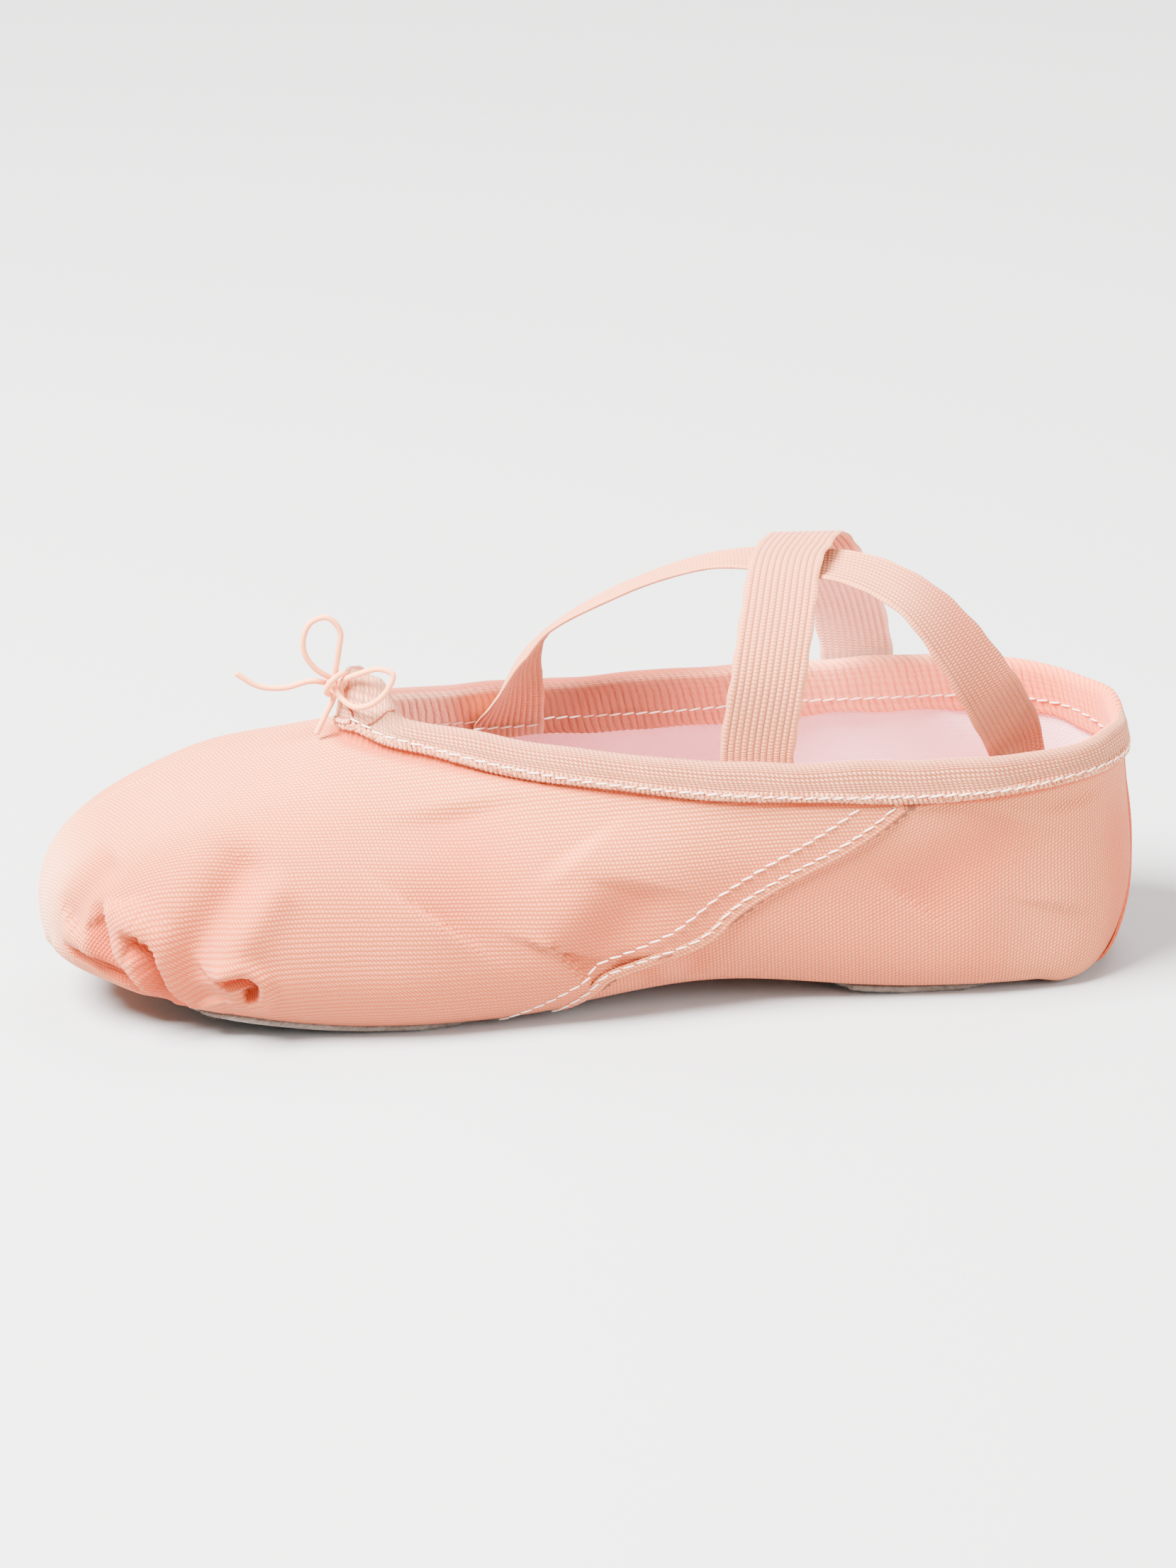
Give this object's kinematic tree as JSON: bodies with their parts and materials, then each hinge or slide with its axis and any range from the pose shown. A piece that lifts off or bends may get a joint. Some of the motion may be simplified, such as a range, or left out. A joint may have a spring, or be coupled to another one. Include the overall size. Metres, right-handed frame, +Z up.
{
  "type": "ballet slipper",
  "caption": "Soft canvas ballet slipper with a split suede sole, bound collar, crossed elastic straps and a drawstring bow at the throat.",
  "frame": {"origin": "on the floor under the middle of the slipper, between the two sole patches", "axes": "+X from toe to heel, +Y to the side the picture hides, +Z up from the floor"},
  "size_m": [0.2412, 0.0794, 0.0974],
  "materials": {
    "canvas": "matt stretch canvas",
    "binding": "ribbed tape",
    "suede": "napped suede",
    "lining": "plain cotton",
    "elastic": "ribbed elastic",
    "drawstring": "round braided elastic"
  },
  "bodies": {
    "root": {"upper": "canvas", "collar_binding": "binding", "outsole_front": "suede", "outsole_heel": "suede", "insole": "lining", "heel_seam": "canvas", "strap_over": "elastic", "strap_under": "elastic", "bow_knot": "drawstring", "bow_loop_tall": "drawstring", "bow_loop_side": "drawstring", "bow_end_long": "drawstring", "bow_end_short": "drawstring"}
  },
  "joints": []
}
